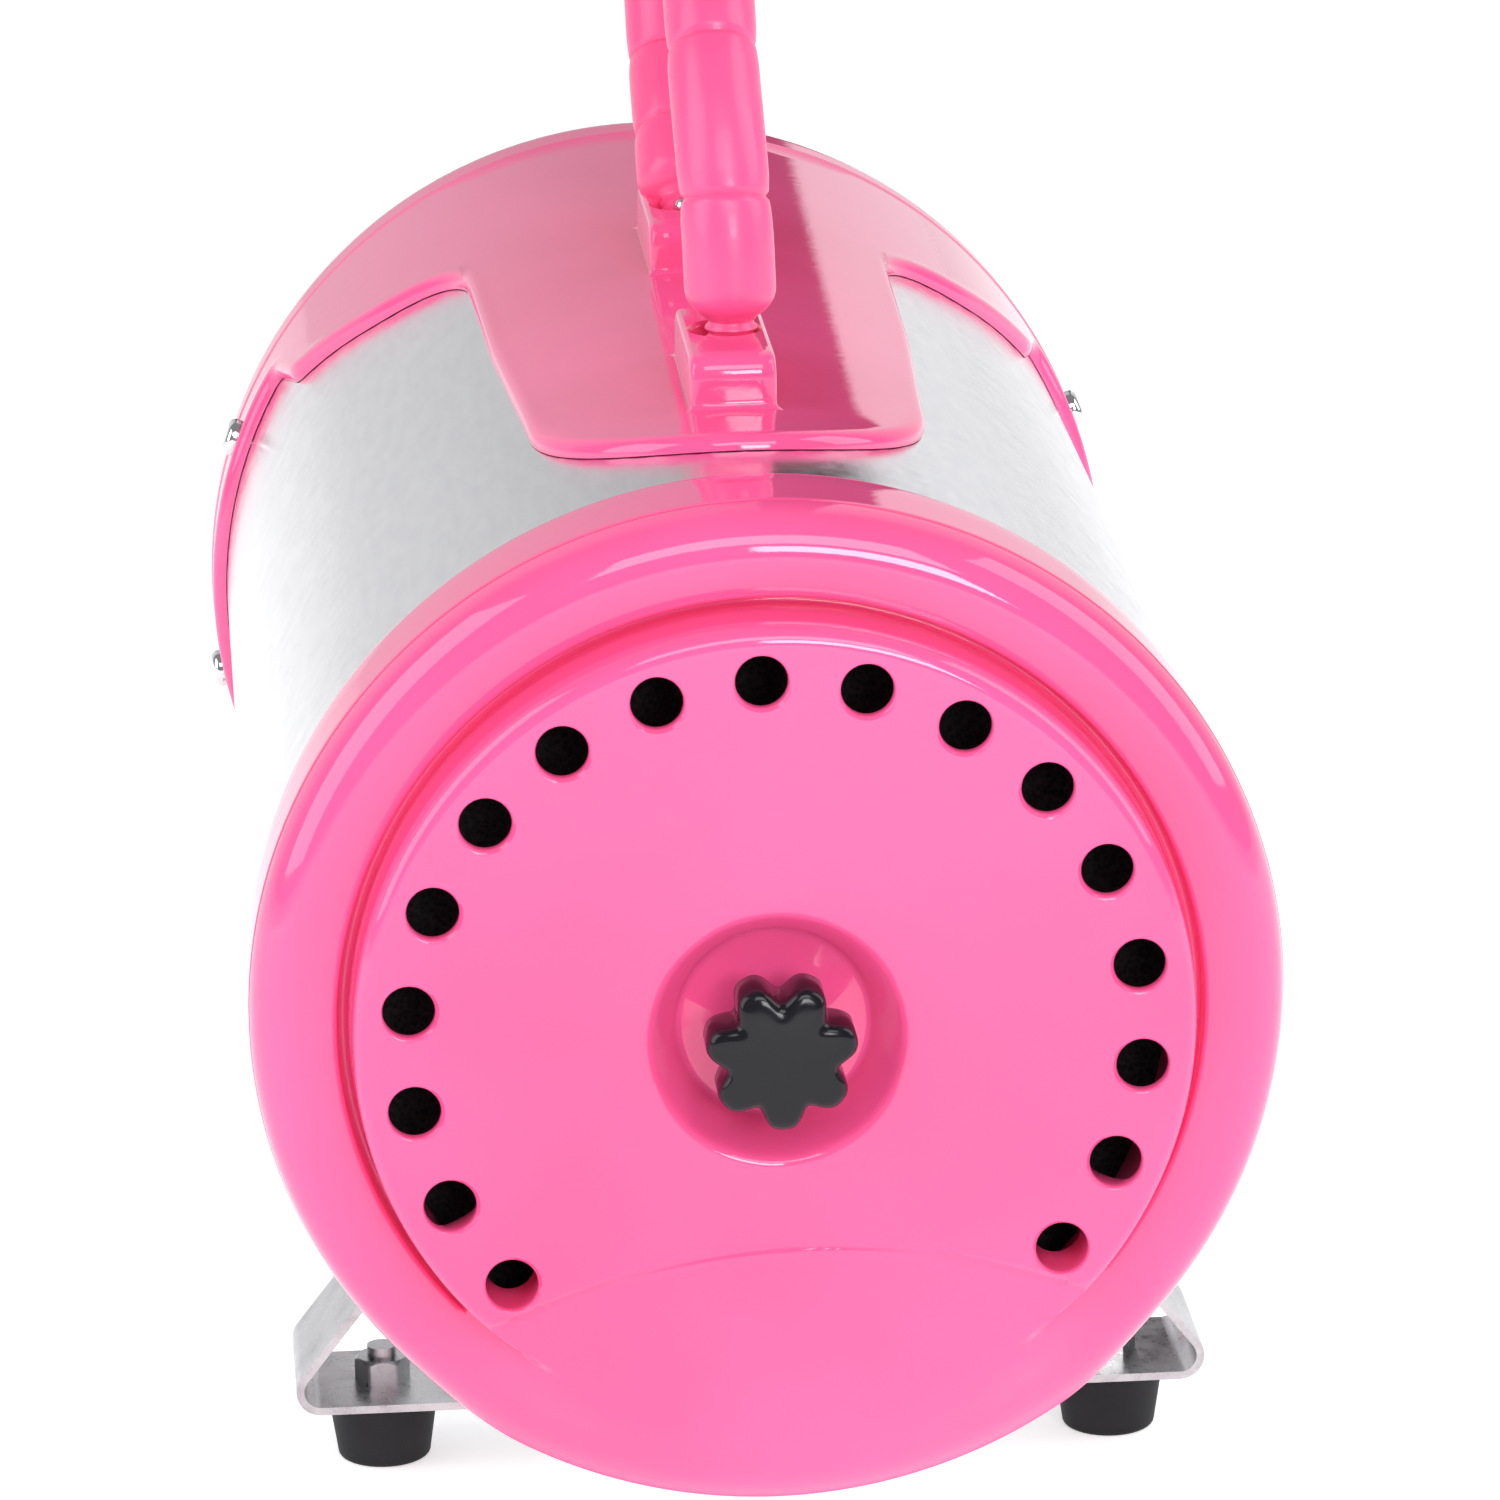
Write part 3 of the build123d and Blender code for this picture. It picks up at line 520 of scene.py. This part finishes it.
def join_pieces(name, pieces):
    """Merge several meshes into the first one."""
    bpy.ops.object.select_all(action="DESELECT")
    for piece in pieces:
        piece.select_set(True)
    bpy.context.view_layer.objects.active = pieces[0]
    bpy.ops.object.join()
    pieces[0].name = name
    pieces[0].select_set(False)
    return pieces[0]


def sharp_shading(piece, angle=38):
    """Smooth shading that keeps real corners crisp."""
    bpy.ops.object.select_all(action="DESELECT")
    piece.select_set(True)
    bpy.context.view_layer.objects.active = piece
    bpy.ops.object.shade_smooth_by_angle(angle=radians(angle))
    piece.select_set(False)


filter_cap = filter_cap_form()
vent_top = DISC_FACE + 1.0
vent_flare = [(VENT_RADIUS + 1.6, vent_top - 2.0), (VENT_RADIUS + 0.75, vent_top - 0.1),
              (VENT_RADIUS + 0.3, vent_top + 0.25), (VENT_RADIUS + 0.05, vent_top + 0.8),
              (VENT_RADIUS, vent_top + 1.4), (VENT_RADIUS - 0.05, -5.0)]
vent_cutters = []
for index in range(VENT_COUNT):
    angle = CAP_TURN + radians((index - (VENT_COUNT - 1) // 2) * VENT_STEP)
    vent_cutters.append(lathe_cutter("vent", vent_flare, VENT_RING * sin(angle), VENT_RING * cos(angle)))
carve(filter_cap, join_pieces("vents", vent_cutters))
sharp_shading(filter_cap, 50)
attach(filter_cap, "cap")
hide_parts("filter_cap")

# ======================================================================== star knob
# Seven-lobed knob in gloss black phenolic, moulded on a brass bush that runs on the stud.
# Handling leaves a fine haze on its lobes.
knob_black = gloss_plastic("knob_black", (0.008, 0.008, 0.011), (0.004, 0.004, 0.006), 0.12, coat=0.0)
knob_black.node_tree.nodes["Principled BSDF"].inputs["Specular IOR Level"].default_value = 0.34
KNOB_FRONT = -34.5
KNOB_LOBES, KNOB_SIDES = 7, 168


def knob_outline(turn, share):
    """Radius of the head at an angle from straight down: round near the middle, seven-lobed at the edge."""
    dip = (1 - cos(KNOB_LOBES * turn)) / 2
    lobes = smooth_step(0.55, 0.97, share)
    return share * (12.9 * (1 - lobes) + (14.6 - 3.5 * dip ** 1.7) * lobes)


def knob_form():
    """Domed lobed head with rounded edges, and the short stem that meets the brass bush."""
    rows = [(0.12, 0.0), (0.25, 0.05), (0.4, 0.16), (0.52, 0.30), (0.63, 0.47), (0.72, 0.65), (0.80, 0.86),
            (0.87, 1.12), (0.92, 1.45), (0.96, 1.95), (0.985, 2.6), (1.0, 3.6), (1.0, 7.5), (1.0, 11.8),
            (0.98, 12.6), (0.94, 13.0)]
    stem = [(8.0, 13.0), (7.2, 13.7), (7.0, 20.0), (7.0, 24.2), (5.05, 24.2), (5.05, 5.7)]
    corners = []
    for side in range(KNOB_SIDES):
        turn = 2 * pi * side / KNOB_SIDES
        for share, depth in rows:
            lobed = knob_outline(turn, share)
            corners.append(place(-lobed * sin(turn), KNOB_FRONT + depth, -lobed * cos(turn)))
        for radius, depth in stem:
            corners.append(place(-radius * sin(turn), KNOB_FRONT + depth, -radius * cos(turn)))
    faces = turned_faces(KNOB_SIDES, len(rows) + len(stem))
    return mesh_piece("lobed_knob", corners, faces, knob_black)


lobed_knob = knob_form()
sharp_shading(lobed_knob, 50)
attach(lobed_knob, "knob")
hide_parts("star_knob")
keep_cad(knob_black, "hose_port", "speed_knob", "power_rocker", "heat_rocker")
bevel_cad(0.5, "hose_port", "speed_knob")

# ======================================================================== saddle and collar
# One pink moulding with a rolled edge: a tongue along the top of the barrel, wings that spread into a band.
# It is held by chrome pan-head screws through the band.
SADDLE_OUT = 101.6
SADDLE_IN = 98.75
SADDLE_ROLL, SADDLE_BEAD = 2.85, 0.12
BAND_FRONT, BAND_BACK = 309.0, 325.0
BAND_SPREAD, BAND_STEPS = 160, 60


def rounded_route(points, radii, steps=14):
    """Flat line through corner points, with a round of the given radius at each inner corner."""
    route = [Vector(points[0])]
    for index in range(1, len(points) - 1):
        before, corner, after = (Vector(point) for point in points[index - 1:index + 2])
        back, ahead = (before - corner), (after - corner)
        room = min(back.length, ahead.length) * 0.49
        back.normalize()
        ahead.normalize()
        half = back.angle(ahead) / 2
        reach = min(radii[index - 1] * cos(half) / sin(half), room)
        start, end = corner + back * reach, corner + ahead * reach
        for step in range(steps + 1):
            t = step / steps
            bow = start.lerp(corner, t).lerp(corner.lerp(end, t), t)
            route.append(bow)
    route.append(Vector(points[-1]))
    return route


def spaced(route, spacing):
    """The same line with points no further apart than a spacing."""
    dense = [route[0]]
    for a, b in zip(route, route[1:]):
        pieces = max(1, int((b - a).length / spacing + 0.999))
        for step in range(1, pieces + 1):
            dense.append(a.lerp(b, step / pieces))
    return dense


def distance_to(route, point):
    """Least distance from a point to a line of points."""
    best = 1e9
    for a, b in zip(route, route[1:]):
        run = b - a
        along = min(max((point - a).dot(run) / max(run.length_squared, 1e-12), 0.0), 1.0)
        best = min(best, (point - a - run * along).length)
    return best


SADDLE_SIDE = [(41.8, 90), (46.2, 162), (48.6, 241), (72, 257), (98.5, 283), (105, BAND_FRONT),
               (BAND_SPREAD, BAND_FRONT)]
SADDLE_ROUNDS = [300, 28, 60, 13, 5]
NOSE_DEPTH, NOSE_POWER, NOSE_STEPS = 45.5, 2.1, 40


def saddle_nose():
    """Broad rounded front of the tongue, from its middle to where its side begins."""
    nose = []
    side_x, side_station = SADDLE_SIDE[0]
    for step in range(NOSE_STEPS):
        turn = pi / 2 * step / NOSE_STEPS
        depth = NOSE_DEPTH * cos(turn) ** (2 / NOSE_POWER)
        widest = side_x - 2.4 * depth / NOSE_DEPTH
        nose.append((widest * sin(turn) ** (2 / NOSE_POWER), side_station - depth))
    return nose


def saddle_form():
    """Closed mesh of tongue, wings and band, wrapped round the barrel column by column."""
    side = rounded_route(SADDLE_SIDE, SADDLE_ROUNDS)
    edge = spaced([Vector(point) for point in saddle_nose()] + side, 1.6)
    rest = pi * SADDLE_OUT - BAND_SPREAD
    extra = [Vector((BAND_SPREAD + rest * step / BAND_STEPS, BAND_FRONT))
             for step in range(1, BAND_STEPS + 1)]
    half = edge + extra
    whole = [Vector((-point.x, point.y)) for point in reversed(half[1:])] + half[:-1]
    corners = []
    depths = [0.0, 0.12, 0.35, 0.7, 1.15, 1.7, 2.4, 3.4, 4.8, 6.5]
    shares = [share / 26 for share in range(1, 27)]
    back = BAND_BACK - 1.6
    for start in whole:
        stations = [start.y + depth for depth in depths]
        stations += [start.y + depths[-1] + (back - start.y - depths[-1]) * share for share in shares]
        angle = start.x / SADDLE_OUT
        ring = []
        for station in stations:
            inside = station - start.y
            if inside > 0 and abs(start.x) < BAND_SPREAD - 10:
                inside = distance_to(edge, Vector((abs(start.x), station)))
            fall = 1 - sqrt(max(1 - (1 - min(inside / SADDLE_ROLL, 1.0)) ** 2, 0.0))
            bead = SADDLE_BEAD * exp(-((inside - 3.0) / 1.6) ** 2)
            ring.append((angle, SADDLE_OUT - fall * SADDLE_ROLL + bead, station))
        ring += [(angle, SADDLE_OUT + 0.25, BAND_BACK - 1.1), (angle, SADDLE_OUT + 0.2, BAND_BACK - 0.6),
                 (angle, SADDLE_OUT - 0.3, BAND_BACK - 0.2), (angle, SADDLE_IN + 0.4, BAND_BACK - 0.1),
                 (angle, SADDLE_IN, BAND_BACK - 0.4), (angle, SADDLE_IN, start.y + 0.3)]
        corners += [on_barrel(*values) for values in ring]
    return mesh_piece("saddle_moulding", corners, wrapped_faces(len(whole), len(ring)), pink)


saddle = saddle_form()

# Two socket blocks stand on the tongue for the feet of the handle, with rounded shoulders and flared roots.
BLOCK_HALF = 8.6
BLOCK_TOP, BLOCK_BOTTOM = 112.0, 98.0
ROOT_LONG, ROOT_WIDE = 3.4, 1.6
SOCKET_FLOOR, SOCKET_SIDES = 104.5, 40


def upright_points(section, station, sides):
    """Points of a form turned about an upright line over the barrel's axis, side by side."""
    points = []
    for side in range(sides):
        turn = 2 * pi * side / sides
        for radius, height in section:
            points.append(place(radius * sin(turn), station + radius * cos(turn), height))
    return points


def socket_block(name, front, back, socket):
    """Block with rounded top edges, a flared root and a round socket for the handle's neck."""
    outline = [(front - ROOT_LONG, 100.6), (front, SADDLE_OUT), (front, BLOCK_TOP),
               (back, BLOCK_TOP), (back, SADDLE_OUT), (back + ROOT_LONG, 100.6)]
    side = rounded_route(outline, [2.5, 5.0, 5.0, 2.5], steps=8)
    profile = [(point.x, point.y) for point in side]
    across = [-1.0, -0.985, -0.94, -0.87, -0.5, 0, 0.5, 0.87, 0.94, 0.985, 1.0]
    corners, faces = [], []
    for share in across:
        inset = 1.7 * (1 - sqrt(max(1 - max(abs(share) - 0.82, 0) ** 2 / 0.18 ** 2, 0)))
        for station, height in profile:
            lower = max(min((height - 101.0) / 2.0, 1.0), 0.0)
            flare = ROOT_WIDE * (1 - lower) ** 2
            middle = (front + back) / 2
            pulled = middle + (station - middle) * (1 - inset / (back - front) * 2 * lower)
            corners.append(place(share * (BLOCK_HALF + flare), pulled, height - inset * lower))
    count = len(profile)
    for column in range(len(across) - 1):
        for index in range(count - 1):
            a = column * count + index
            faces.append((a, a + 1, a + count + 1, a + count))
    bottom = len(corners)
    for share in across:
        for station in (front - ROOT_LONG, back + ROOT_LONG):
            corners.append(place(share * (BLOCK_HALF + ROOT_WIDE), station, BLOCK_BOTTOM))
    for column in range(len(across) - 1):
        low, high = bottom + column * 2, column * count
        faces.append((low, low + 1, low + 3, low + 2))
        faces.append((low, low + 2, high + count, high))
        faces.append((low + 1, high + count - 1, high + 2 * count - 1, low + 3))
    for start, low in ((0, bottom), ((len(across) - 1) * count, len(corners) - 2)):
        faces.append((*range(start, start + count), low + 1, low))
    block = mesh_piece(name, corners, faces, pink)
    section = [(6.9, 0.0), (6.9, 6.4), (7.3, 7.2), (8.0, 7.9), (9.2, 12.0)]
    section = [(radius, SOCKET_FLOOR + height) for radius, height in section]
    points = upright_points(section, socket, SOCKET_SIDES)
    carve(block, mesh_piece("socket", points, turned_faces(SOCKET_SIDES, len(section)), pink))
    sharp_shading(block, 45)
    return block


HANDLE_POINTS = [(91, 105), (93, 142), (131, 187), (224, 187), (256, 161), (241, 137), (204, 105)]
near_block = socket_block("near_socket_block", 67.0, 113.0, HANDLE_POINTS[0][0])
far_block = socket_block("far_socket_block", 184.0, 228.0, HANDLE_POINTS[-1][0])
for piece in (saddle, near_block, far_block):
    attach(piece, "housing")
sharp_shading(saddle, 60)
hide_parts("rear_collar")

# ======================================================================== carry handle
# A bow of the same pink plastic, blown in one piece, with rounded feet and ring grooves round the legs.
# Each foot has a short neck that drops into a socket block and is screwed from below.
blown_pink = gloss_plastic("blown_pink", PINK, PINK_DEEP, 0.30, coat=0.12)
HANDLE_RADIUS = 9.2
HANDLE_ROUNDS = [75, 45, 45, 22, 37]
HANDLE_SIDES = 40
HANDLE_ASKEW = 1.4
NEAR_RINGS = (33.0, 65.0, 97.0)
FAR_RINGS = (27.0, 47.0, 80.0)
FOOT_START, FOOT_END = 8.2, 15.5
NECK_RADIUS, NECK_TIP = 4.9, 4.2
THREAD_START, THREAD_END = 1.0, 9.0
THREAD_DEPTH, THREAD_PITCH = 0.45, 2.2


def handle_form():
    """Tube of changing radius along the bow, closed at both necks."""
    route = spaced(rounded_route(HANDLE_POINTS, HANDLE_ROUNDS, steps=24), 0.5)
    lengths = [0.0]
    for a, b in zip(route, route[1:]):
        lengths.append(lengths[-1] + (b - a).length)
    total = lengths[-1]
    rings = list(NEAR_RINGS) + [total - ring for ring in FAR_RINGS]
    corners = []
    for index, point in enumerate(route):
        ahead = route[min(index + 1, len(route) - 1)]
        behind = route[max(index - 1, 0)]
        run = (ahead - behind).normalized()
        along = lengths[index]
        end = min(along, total - along)
        radius = HANDLE_RADIUS
        for ring in rings:
            radius -= 0.75 * exp(-((along - ring) / 0.6) ** 2)
            radius -= 0.35 * exp(-((along - ring) / 3.2) ** 2)
        if end < FOOT_END:
            t = min(max((end - FOOT_START) / (FOOT_END - FOOT_START), 0.0), 1.0)
            radius *= sqrt(1 - (1 - t) ** 2.2)
        neck = NECK_RADIUS if end > THREAD_START else NECK_TIP
        if THREAD_START < end < THREAD_END:
            neck += THREAD_DEPTH * sin(2 * pi * end / THREAD_PITCH)
        radius = max(radius, neck)
        askew = HANDLE_ASKEW * (1 - smooth_step(10, 62, along))
        for side in range(HANDLE_SIDES):
            turn = 2 * pi * side / HANDLE_SIDES
            across, lift = radius * sin(turn), radius * cos(turn)
            corners.append(place(across + askew, point.x - run.y * lift, point.y + run.x * lift))
    return mesh_piece("bow_handle", corners, swept_faces(len(route), HANDLE_SIDES), blown_pink)


bow_handle = handle_form()
sharp_shading(bow_handle, 55)
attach(bow_handle, "housing")
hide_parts("carry_handle")

# ======================================================================== foot straps
# Zinc-plated steel strip, folded up at both ends and riveted to the barrel by curved flanges.
# The zinc shows a soft spangle and darker scuffs.


def zinc_plate(name, light, dark):
    """Zinc plating with a soft spangle, scuffs and a satin sheen."""
    material, surface, add, link = new_material(name)
    where = add("TexCoord")
    spangle = add("TexVoronoi", Scale=120.0, feature="SMOOTH_F1")
    link(where.outputs["Object"], spangle.inputs["Vector"])
    scuffs = add("TexNoise", Scale=320.0, Detail=8.0, Roughness=0.7)
    link(where.outputs["Object"], scuffs.inputs["Vector"])
    mixed = add("Math", operation="ADD")
    half = add("Math", operation="MULTIPLY")
    half.inputs[1].default_value = 0.55
    link(spangle.outputs["Distance"], half.inputs[0])
    link(half.outputs["Value"], mixed.inputs[0])
    link(scuffs.outputs["Fac"], mixed.inputs[1])
    tone = add("ValToRGB")
    tone.color_ramp.elements[0].position = 0.45
    tone.color_ramp.elements[0].color = (*dark, 1)
    tone.color_ramp.elements[1].position = 0.9
    tone.color_ramp.elements[1].color = (*light, 1)
    link(mixed.outputs["Value"], tone.inputs["Fac"])
    link(tone.outputs["Color"], surface.inputs["Base Color"])
    gloss = add("MapRange")
    gloss.inputs["From Min"].default_value = 0.3
    gloss.inputs["From Max"].default_value = 0.8
    gloss.inputs["To Min"].default_value = 0.22
    gloss.inputs["To Max"].default_value = 0.42
    link(scuffs.outputs["Fac"], gloss.inputs["Value"])
    link(gloss.outputs["Result"], surface.inputs["Roughness"])
    surface.inputs["Metallic"].default_value = 1.0
    relief = add("Bump", Strength=0.12, Distance=0.0004)
    link(scuffs.outputs["Fac"], relief.inputs["Height"])
    link(relief.outputs["Normal"], surface.inputs["Normal"])
    return material


zinc = zinc_plate("zinc_plate", (0.56, 0.565, 0.57), (0.36, 0.36, 0.37))
keep_cad(zinc, "foot_strap_front", "foot_strap_rear", "strap_rivets", "foot_bolts", "foot_nuts",
         "filter_stud", "filter_guard", "guard_ring", "bulkhead", "inlet_spider", "motor_cradle")
bevel_cad(0.35, "foot_strap_front", "foot_strap_rear", "foot_nuts")

# ======================================================================== rubber feet
# Tapered feet in black rubber, moulded with a fine matt skin that picks up dust at the floor.


def black_rubber():
    """Matt rubber with a fine grain and a dusty cast."""
    material, surface, add, link = new_material("foot_rubber")
    where = add("TexCoord")
    dust = add("TexNoise", Scale=60.0, Detail=6.0)
    link(where.outputs["Object"], dust.inputs["Vector"])
    tone = add("ValToRGB")
    tone.color_ramp.elements[0].color = (0.004, 0.004, 0.005, 1)
    tone.color_ramp.elements[1].color = (0.022, 0.022, 0.024, 1)
    link(dust.outputs["Fac"], tone.inputs["Fac"])
    link(tone.outputs["Color"], surface.inputs["Base Color"])
    surface.inputs["Roughness"].default_value = 0.62
    surface.inputs["Specular IOR Level"].default_value = 0.25
    grain = add("TexNoise", Scale=1400.0, Detail=2.0)
    link(where.outputs["Object"], grain.inputs["Vector"])
    relief = add("Bump", Strength=0.25, Distance=0.0003)
    link(grain.outputs["Fac"], relief.inputs["Height"])
    link(relief.outputs["Normal"], surface.inputs["Normal"])
    return material


rubber = black_rubber()
keep_cad(rubber, "rubber_feet", "fan_gasket", "motor_ring")

# ======================================================================== screws
# Chrome-plated pan-head screws round the collar, driven through the moulding into the barrel.
# The same bright finish serves the handle's screws, the rotor's shaft, its bearings and the heater wire.
chrome = plated_sheet("screw_chrome", (0.78, 0.78, 0.79), (60.0, 60.0, 60.0), 0.10)
keep_cad(chrome, "collar_screws", "rotor_shaft", "bearing_front", "bearing_back", "heater_coils")
SCREW_SIDES = 24


def handle_screw_form():
    """Two blunt screws driven up through the saddle into the necks of the handle."""
    section = [(4.0, 99.2), (4.0, 100.4), (3.6, 101.0), (2.0, 101.0), (2.0, 111.5), (1.6, 112.6),
               (0.8, 113.0)]
    corners, faces = [], []
    for station in (HANDLE_POINTS[0][0], HANDLE_POINTS[-1][0]):
        faces += turned_faces(SCREW_SIDES, len(section), len(corners))
        corners += upright_points(section, station, SCREW_SIDES)
    return mesh_piece("handle_foot_screws", corners, faces, chrome)


foot_screws = handle_screw_form()
sharp_shading(foot_screws, 45)
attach(foot_screws, "housing")
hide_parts("handle_screws")

# ======================================================================== outlet end
# The nose is moulded in the same pink as the cap, and the black hose port is clamped in it from behind.
# Rocker switches, the speed control and the cord gland are black nylon with a duller moulded skin.
keep_cad(pink, "outlet_nose")

dark_plastic = gloss_plastic("switch_black", (0.03, 0.03, 0.032), (0.02, 0.02, 0.021), 0.38, coat=0.0)
keep_cad(dark_plastic, "power_switch", "heat_switch", "cord_gland", "regulator", "board_posts")
bevel_cad(0.4, "cord_gland")

# ======================================================================== inside
# Foam, spun and cast aluminium, laminations, copper, brass, mica and the green board, seen only through
# the holes or with the cap off.
cast = zinc_plate("cast_aluminium", (0.62, 0.62, 0.63), (0.42, 0.42, 0.43))
keep_cad(cast, "fan_housing", "stage_plate", "fan_wheel_front", "fan_wheel_back", "motor_frame")
copper = zinc_plate("copper", (0.80, 0.42, 0.26), (0.55, 0.26, 0.14))
keep_cad(copper, "commutator")
brass = zinc_plate("brass", (0.78, 0.58, 0.26), (0.55, 0.38, 0.14))
keep_cad(brass, "knob_insert", "brushes")
laminations = zinc_plate("laminations", (0.20, 0.20, 0.21), (0.09, 0.09, 0.095))
keep_cad(laminations, "armature", "motor_field")
mica = gloss_plastic("mica_board", (0.55, 0.47, 0.30), (0.42, 0.34, 0.20), 0.55, coat=0.0)
keep_cad(mica, "heater_frame")
board_green = gloss_plastic("board_green", (0.03, 0.16, 0.06), (0.02, 0.11, 0.04), 0.35, coat=0.3)
keep_cad(board_green, "control_board")


def open_foam():
    """Dark open-cell foam with a pitted skin."""
    material, surface, add, link = new_material("filter_foam")
    where = add("TexCoord")
    cells = add("TexVoronoi", Scale=900.0)
    link(where.outputs["Object"], cells.inputs["Vector"])
    tone = add("ValToRGB")
    tone.color_ramp.elements[0].color = (0.004, 0.004, 0.004, 1)
    tone.color_ramp.elements[1].color = (0.03, 0.03, 0.032, 1)
    link(cells.outputs["Distance"], tone.inputs["Fac"])
    link(tone.outputs["Color"], surface.inputs["Base Color"])
    surface.inputs["Roughness"].default_value = 0.95
    relief = add("Bump", Strength=0.8, Distance=0.001)
    link(cells.outputs["Distance"], relief.inputs["Height"])
    link(relief.outputs["Normal"], surface.inputs["Normal"])
    return material


foam = open_foam()
keep_cad(foam, "filter_foam", "sound_lining")
